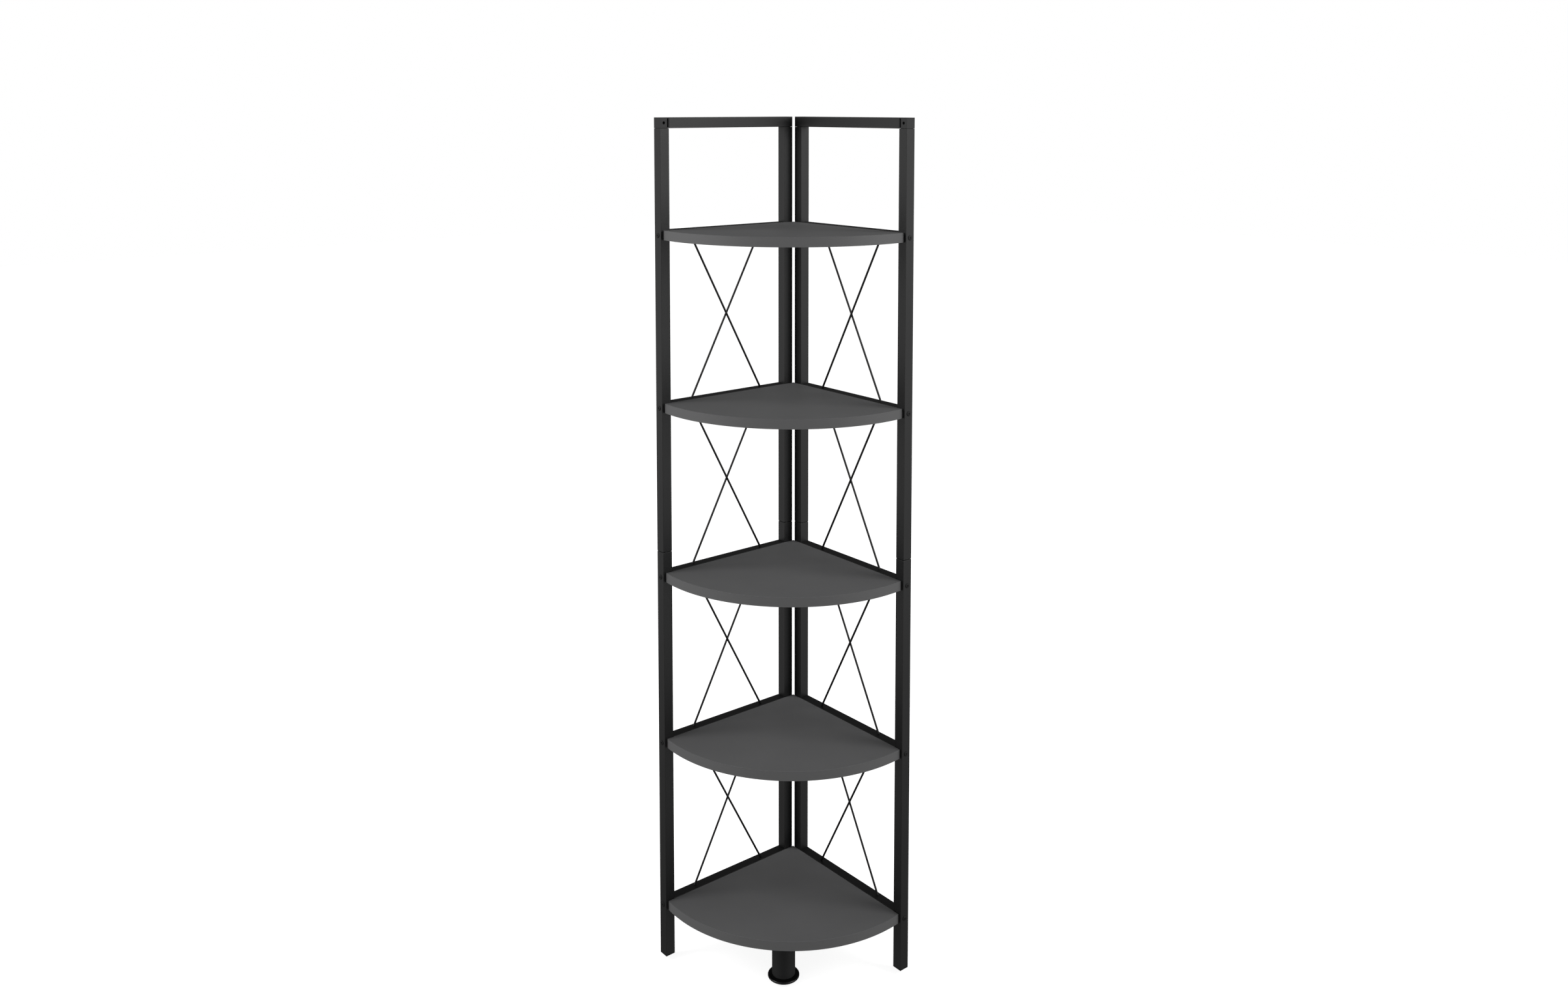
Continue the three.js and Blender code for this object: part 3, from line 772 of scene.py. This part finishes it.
    def braces(self):
        """The rods that cross in the bays between the rails."""
        nodes = [self.node(f"brace_{i + 1}_{where}_side") for i in range(LEVELS - 1)
                 for where in ("room", "wall")]
        bead = placed("bead", weld_bead())
        mesh = BRACES.run(
            bpy.data.meshes.new("rods"), Rod_diameter=ROD, Near_end=self.rail_start - GAP + ROD_INSET,
            Far_end=self.rail_end + GAP - ROD_INSET, Bottom=self.rail_z[0] + TUBE / 2,
            Rise=PITCH - TUBE, Pitch=PITCH, Bays=LEVELS - 1, Side_offset=(ROD + GAP) / 2, Sink=ROD_SINK,
            Weld_bead=bead)
        bpy.data.objects.remove(bead)
        piece(self.node("brace_rods"), mesh, ROD_COAT, nodes, matrix=self.matrix)

    def top(self):
        """The top rail, its corner block and its back connector."""
        low, high = self.span(self.node("top_rail"))
        height = (low.z + high.z) / 2
        level = Matrix.Translation((0, 0, height)) @ lying((1, 0, 0))
        rail = square_tube(low.x, high.x, SAWN_EDGE, SAWN_EDGE).mesh("top", self.matrix @ level)
        piece(self.node("top_rail_tube"), rail, FRAME_COAT, [self.node("top_rail")])
        place = Matrix.Translation((self.front[0].x, 0, height))
        piece(self.node("corner_block_moulding"), corner_block(), MOULDING,
              [self.node("corner_block")], matrix=self.matrix @ place)
        place = Matrix.Translation((self.back[0].x, 0, height))
        piece(self.node("back_connector_moulding"), back_connector(), MOULDING,
              [self.node("back_connector")], matrix=self.matrix @ place)


def spigot(length, direction, start):
    """A square spigot from a point along a direction."""
    bar = square_bar(SPIGOT, BORE_CORNER, 0.0, length, SPIGOT_EDGE)
    return bar.mesh("spigot", Matrix.Translation(start) @ lying(direction))


def pocket(top):
    """Cutter for the hollow in the underside of a post spigot."""
    low = top - SPIGOT_LENGTH - OVERCUT
    bar = square_bar(SPIGOT_BORE, BORE_CORNER, low, top - SPIGOT_WALL, HOLLOW_EDGE)
    return bar.mesh("pocket", Matrix.Translation((TUBE / 2, 0, 0)))


def slot_cutter(direction):
    """Cutter for an upright slot with round ends and a softened mouth."""
    face = TUBE / 2
    reach = (TUBE - 2 * SLOT_LIP) / 2 - SLOT_WIDTH / 2
    rings = []
    for depth, flare in ((face - SLOT_DEPTH, 0.0), (face - HOLE_FLARE, 0.0),
                         (face + HOLE_FLARE, 2 * HOLE_FLARE)):
        radius = SLOT_WIDTH / 2 + flare
        ring = []
        for end, start in ((1, 0.0), (-1, math.pi)):
            for step in range(SLOT_STEPS + 1):
                angle = step / SLOT_STEPS * math.pi + start
                ring.append((radius * math.cos(angle), end * reach + radius * math.sin(angle), depth))
        rings.append(ring)
    place = Matrix.Translation((TUBE - SLOT_SET, 0, 0))
    return Shape().rings(rings).mesh("slot", place @ lying(direction))


def corner_block():
    """The moulded block over a front post, with a wall-screw hole and a slot from each side."""
    block = square_bar(TUBE, TUBE_CORNER, 0.0, TUBE, BLOCK_EDGE).mesh("block", lying((1, 0, 0)))
    seat = -TUBE / 2 - GAP
    joins = [
        spigot(RAIL_SPIGOT_LENGTH + TUBE / 2, (-1, 0, 0), (TUBE / 2, 0, 0)),
        spigot(SPIGOT_LENGTH + TUBE / 2, (0, 0, -1), (TUBE / 2, 0, seat + TUBE / 2)),
    ]
    radius = WALL_HOLE / 2
    mouth = radius + 2 * WALL_HOLE_FLARE
    inside, outside = TUBE / 2 - WALL_HOLE_FLARE, TUBE / 2 + WALL_HOLE_FLARE
    profile = [(mouth, -outside), (radius, -inside), (radius, inside), (mouth, outside)]
    hole = turned(profile, sides=HOLE_SIDES).mesh(
        "hole", Matrix.Translation((TUBE - WALL_HOLE_SET, 0, 0)) @ lying((0, 1, 0)))
    cuts = [hole, pocket(seat), slot_cutter((0, 1, 0)), slot_cutter((0, -1, 0))]
    return carved(block, cuts, joins)


def back_connector():
    """The moulded elbow that closes the back end of a top rail and stands in the back post."""
    head = square_bar(TUBE, TUBE_CORNER, 0.0, CAP_HEAD, CAP_EDGE).mesh("cap", lying((1, 0, 0)))
    seat = -TUBE / 2 - GAP
    neck = square_bar(NECK, BORE_CORNER, seat - NECK_SINK, seat + TUBE / 2, HOLLOW_EDGE)
    stretched = Matrix.Translation((TUBE / 2, 0, 0)) @ Matrix.Diagonal((SPIGOT / NECK, 1, 1, 1))
    joins = [
        spigot(CAP_HEAD / 2 + RAIL_SPIGOT_LENGTH, (1, 0, 0), (CAP_HEAD / 2, 0, 0)),
        neck.mesh("neck", stretched),
        spigot(SPIGOT_LENGTH, (0, 0, -1), (TUBE / 2, 0, seat)),
    ]
    return carved(head, [pocket(seat)], joins)


def weld_bead():
    """A low bead where a rod meets a rail."""
    out, share = WELD_CREST
    profile = [(WELD_RADIUS, -ROD_SINK / 2), (WELD_RADIUS, WELD_FOOT),
               (ROD / 2 + out, share * WELD_HEIGHT), (ROD / 2 - WELD_BITE, WELD_HEIGHT)]
    return turned(profile, sides=ROD_SIDES).mesh("bead")


def bolt_head():
    """A low round head with a hexagon socket, its seat at z = 0."""
    radius = BOLT_HEAD / 2
    inset, seat_edge = BOLT_SEAT_EDGE
    wider, mouth_depth = BOLT_SOCKET_MOUTH
    profile = [(radius - inset, 0), (radius, seat_edge)]
    profile += [(radius - inwards, share * BOLT_HEIGHT) for inwards, share in BOLT_DOME]
    profile += [(BOLT_SOCKET / 2 + BOLT_SOCKET_LAND, BOLT_HEIGHT)]
    rings = [circle(x, z, BOLT_SIDES) for x, z in profile]
    rings += [hexagon(BOLT_SOCKET + wider, BOLT_HEIGHT), hexagon(BOLT_SOCKET, BOLT_HEIGHT - mouth_depth),
              hexagon(BOLT_SOCKET, BOLT_HEIGHT - BOLT_SOCKET_DEPTH)]
    return Shape().rings(rings).mesh("bolt_head")


def hexagon(flats, z):
    """Ring of a hexagon at height z, so wide across its flats, with as many points as a bolt head."""
    ring = []
    for i in range(BOLT_SIDES):
        turn = 2 * math.pi * i / BOLT_SIDES
        reach = flats / 2 / math.cos(turn % (math.pi / 3) - math.pi / 6)
        ring.append((reach * math.cos(turn), reach * math.sin(turn), z))
    return ring


def screw(length):
    """A pan-head screw with a cross recess, its seat at z = 0 and its shank below."""
    radius = SCREW_HEAD / 2
    shank = SCREW_SHANK / 2
    inset, seat_edge = SCREW_SEAT_EDGE
    profile = [(SCREW_TIP, -length)]
    profile += [(shank * share, -length + along) for share, along in SCREW_POINT]
    profile += [(shank, 0), (radius - inset, 0), (radius, seat_edge)]
    profile += [(share * radius, height * SCREW_HEIGHT) for share, height in SCREW_DOME]
    rings = [circle(x, z, SCREW_SIDES) for x, z in profile]
    rings += [cross(arm * radius, half, SCREW_HEIGHT - depth) for arm, half, depth in SCREW_RECESS]
    return Shape().rings(rings).mesh("screw")


def cross(arm, half, z):
    """Ring of a cross at height z: how far its arms reach and half their width."""
    corners = []
    for quarter in range(4):
        turn = Matrix.Rotation(quarter * math.pi / 2, 2)
        corners += [turn @ Vector(p) for p in ((arm, -half), (arm, half), (half, half))]
    ring = []
    for i, point in enumerate(corners):
        middle = (point + corners[(i + 1) % len(corners)]) / 2
        ring += [(point.x, point.y, z), (middle.x, middle.y, z)]
    return ring


# Shelves

def shelf_ring(inset, z, side, radius):
    """Outline of a shelf at height z, drawn in by inset. Its straight sides lie that far from the walls,
    and its places are from the wall corner, +X to the right frame's front and -Y to the left frame's."""
    arc = radius - inset
    edge = side + inset
    opening = math.asin((ARC_CENTRE - edge) / arc)
    ring = [(edge, -edge, z)]
    for step in range(ARC_STEPS + 1):
        angle = -math.pi / 2 - opening + (math.pi / 2 + 2 * opening) * step / ARC_STEPS
        ring.append((ARC_CENTRE + arc * math.cos(angle), -ARC_CENTRE + arc * math.sin(angle), z))
    return ring


def shelf(level):
    """A board with eased edges, as its CAD node lies."""
    node = f"shelf_{level + 1}"
    low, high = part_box(node)
    corner = Vector((cad_box[0].x, cad_box[1].y, 0))
    side = low.x - corner.x
    radius = high.x - corner.x - ARC_CENTRE
    rows = [(3 * BAND, low.z, 0.0), (BAND, low.z, 0.0)]
    rows += [(inset, z, 1.0) for inset, z in eased(low.z, high.z, SHELF_EDGE)]
    rows += [(BAND, high.z, 0.0), (3 * BAND, high.z, 0.0)]
    rings = [shelf_ring(inset, z, side, radius) for inset, z, _ in rows]
    shape = Shape().rings(rings, rims=[rim for _, _, rim in rows])
    piece(f"{node}_board", shape.mesh(node, Matrix.Translation(corner)), BOARD, [node])


# Leg and foot

def leg():
    """The front leg and, on a body of its own, the levelling foot that slides in it."""
    low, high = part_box("leg_tube")
    centre = (low + high) / 2
    place = Matrix.Translation((centre.x, centre.y, 0))
    outer, inner = LEG / 2, LEG / 2 - LEG_WALL
    web_low, web_high = LEG_WEB
    profile = rounded_profile([
        (outer, low.z, LEG_LOW_EDGE), (outer, high.z, LEG_EDGE), (inner, high.z, LEG_EDGE),
        (inner, web_high, 0), (LEG_THREAD / 2, web_high, 0), (LEG_THREAD / 2, web_low, 0),
        (inner, web_low, 0), (inner, low.z, LEG_EDGE)])
    piece("front_leg_tube", turned(profile, closed=True).mesh("leg", place), LEG_COAT,
          ["leg_tube"])
    profile = rounded_profile(foot_corners(outer, inner - COLLAR_GAP))
    piece("foot_flange", turned(profile).mesh("foot", place), FOOT_MOULDING,
          ["levelling_foot"], body=FOOT)
    plate_low, plate_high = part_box("leg_plate")
    reach = (plate_high.x - plate_low.x) / 2 - PLATE_HOLE_INSET
    places = [((centre.x + x, centre.y + y, plate_low.z), (0, 0, -1))
              for x in (-reach, reach) for y in (-reach, reach)]
    mesh = fastened(SCREWS, screw(PLATE_SCREW_LENGTH), places, seed=5)
    piece("leg_plate_screws", mesh, ZINC)


def foot_corners(leg_radius, collar):
    """(radius, height, ease) of the foot's outline, from the middle of its sole round to its pocket."""
    rim = FOOT_DIAMETER / 2
    inwards, below = FOOT_SHOULDER
    sleeve = collar - COLLAR_WALL
    return [
        (AXIS, 0, 0),
        (rim - FOOT_SOLE_BEVEL, 0, 0.8 * MM),
        (rim, FOOT_SOLE_BEVEL, 0.8 * MM),
        (rim, FOOT_RIM, 0.7 * MM),
        (rim - inwards, FOOT_FLANGE - below, 0.6 * MM),
        (leg_radius + GAP + FOOT_LAND, FOOT_FLANGE, 0.8 * MM),
        (collar, FOOT_FLANGE, 0.2 * MM),
        (collar, COLLAR_TOP, 0.8 * MM),
        (sleeve, COLLAR_TOP, 0.5 * MM),
        (sleeve, POCKET_TOP, 0.3 * MM),
        (STEM_HEAD / 2, POCKET_TOP, 0.2 * MM),
        (STEM_HEAD / 2, POCKET_FLOOR, 0),
        (AXIS, POCKET_FLOOR, 0),
    ]


for side in ("left", "right"):
    ladder = Ladder(side)
    ladder.posts()
    ladder.rails()
    ladder.bolts()
    ladder.shelf_screws()
    ladder.braces()
    ladder.top()
for level in range(LEVELS):
    shelf(level)
leg()

# CAD nodes that stay as they are, by the end of their name
CARRIED_OVER = {
    "sleeve": (ZINC, "zinc_steel"),
    "stem": (ZINC, "zinc_steel"),
    "leg_plate": (FRAME_COAT, "frame_paint"),
}
for name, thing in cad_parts.items():
    for word, (material, slot) in CARRIED_OVER.items():
        if name.endswith(word):
            thing.data.materials.clear()
            thing.data.materials.append(material)


# Studio

FLOOR_LEVEL = -10.5 * MM  # just under the levelling foot, let out to its limit
FLOOR_REACH = 14.0
FLOOR_GLOW = 0.86
ROOM_SIDE = (0.77, -0.64, 0)  # from the unit towards the camera
ROOM_LIGHT = 1.75
# (position, share): from the side behind the unit, by both flanks, to the side of the camera
ROOM_AROUND = [(0.0, 0.06), (0.1, 0.12), (0.25, 0.25), (0.4, 0.34),
               (0.6, 0.85), (0.78, 0.8), (0.9, 0.35), (1.0, 0.1)]
# (position, share): from straight down, by the horizon at 0.5, to straight up
ROOM_UPWARD = [(0.2, 0.12), (0.35, 0.3), (0.5, 0.95), (0.62, 0.4), (0.8, 0.55), (0.92, 0.2), (1.0, 0.1)]
# the same for the glow of the floor, which is alike on all sides
ROOM_BELOW = [(0.25, 0.0), (0.36, 0.15), (0.44, 0.15), (0.5, 0.0)]
SOFTBOXES = [("right_box", (2.0, 1.1, 2.6), 22), ("left_box", (-0.8, -2.1, 2.6), 24)]
SOFTBOX_SIZE = (1.0, 1.8)
SOFTBOX_AIM = (0, 0, 1.0)
WHITE = (1, 1, 1, 1)

# Camera, worked out for the photograph's own pixels
PHOTO_WIDTH, PHOTO_HEIGHT = 2408, 1515
FOCAL = 2097.68
CENTRE_X, CENTRE_Y = 1203.59, 345.33
EYE = (1.9425, -1.5902, 1.6443)
YAW, PITCH_DOWN = 0.8843, 0.0866
SENSOR = 36  # millimetres
CLIP_END = 100


def studio_world():
    """White to the camera. To everything else it is a dim room, brightest by the flanks at the horizon,
    with a glow from the floor all around."""
    world = bpy.data.worlds.new("studio")
    world.use_nodes = True
    world.node_tree.nodes.clear()
    nodes = Nodes(world.node_tree)
    way = nodes.add("ShaderNodeTexCoord", output="Generated")

    def share(direction, stops):
        """The room's light by how far a ray goes along a direction."""
        dot = {"operation": "DOT_PRODUCT"}
        along = nodes.add("ShaderNodeVectorMath", dot, {0: way, 1: direction}, "Value")
        shade = nodes.add("ShaderNodeValToRGB", {"stops": stops}, {0: along * 0.5 + 0.5}, "Color")
        return nodes.add("ShaderNodeRGBToBW", inputs={0: shade})

    upright = (0, 0, 1)
    above = share(ROOM_SIDE, ROOM_AROUND) * share(upright, ROOM_UPWARD)
    strength = (above + share(upright, ROOM_BELOW)) * ROOM_LIGHT
    room = nodes.add("ShaderNodeBackground", inputs={"Color": WHITE, "Strength": strength})
    white = nodes.add("ShaderNodeBackground", inputs={"Color": WHITE, "Strength": 1.0})
    seen = nodes.add("ShaderNodeLightPath", output="Is Camera Ray")
    both = nodes.add("ShaderNodeMixShader", inputs={0: seen, 1: room, 2: white})
    nodes.add("ShaderNodeOutputWorld", inputs={"Surface": both})
    bpy.context.scene.world = world


def softbox(name, place, power):
    """A tall soft light that is aimed at the unit and isn't seen itself."""
    light = bpy.data.lights.new(name, "AREA")
    light.shape = "RECTANGLE"
    light.size, light.size_y = SOFTBOX_SIZE
    light.energy = power
    thing = placed(name, light)
    thing.location = place
    thing.rotation_euler = (Vector(SOFTBOX_AIM) - Vector(place)).to_track_quat("-Z", "Y").to_euler()
    thing.visible_camera = False


def studio_floor():
    """A plain pale floor that the camera sees as nearly white."""
    mesh = bpy.data.meshes.new("floor")
    corners = [(-1, -1), (1, -1), (1, 1), (-1, 1)]
    points = [(x * FLOOR_REACH, y * FLOOR_REACH, FLOOR_LEVEL) for x, y in corners]
    mesh.from_pydata(points, [], [(0, 1, 2, 3)])
    finish = Finish("pale_floor")
    cloud = finish.noise(0.6, 2)
    tone = finish.blend(cloud, (0.78, 0.78, 0.78), (0.82, 0.82, 0.82))
    matt = finish.add("ShaderNodeBsdfDiffuse", inputs={"Color": tone})
    glow = finish.add("ShaderNodeEmission", inputs={"Color": WHITE, "Strength": FLOOR_GLOW})
    lit = finish.add("ShaderNodeAddShader", inputs={0: matt, 1: glow})
    finish.add("ShaderNodeOutputMaterial", inputs={"Surface": lit})
    mesh.materials.append(finish.material)
    floor = placed("floor", mesh)
    # the unit is lit by the room's own glow from below instead
    floor.visible_glossy = False
    floor.visible_diffuse = False


def camera():
    """The photograph's view, from the room towards the wall corner, with the shift that it needs."""
    lens = bpy.data.cameras.new("camera")
    lens.sensor_width = SENSOR
    lens.lens = FOCAL / PHOTO_WIDTH * lens.sensor_width
    lens.shift_x = (PHOTO_WIDTH / 2 - CENTRE_X) / PHOTO_WIDTH
    lens.shift_y = (CENTRE_Y - PHOTO_HEIGHT / 2) / PHOTO_WIDTH
    lens.clip_end = CLIP_END
    thing = placed("camera", lens)
    level = math.cos(PITCH_DOWN)
    right = Vector((math.cos(YAW), math.sin(YAW), 0))
    ahead = Vector((-math.sin(YAW) * level, math.cos(YAW) * level, -math.sin(PITCH_DOWN)))
    turn = Matrix((right, right.cross(ahead), -ahead)).transposed().to_4x4()
    thing.matrix_world = Matrix.Translation(EYE) @ turn
    bpy.context.scene.camera = thing


studio_world()
studio_floor()
for name, place, power in SOFTBOXES:
    softbox(name, place, power)
camera()
bpy.context.scene.view_settings.view_transform = "Standard"
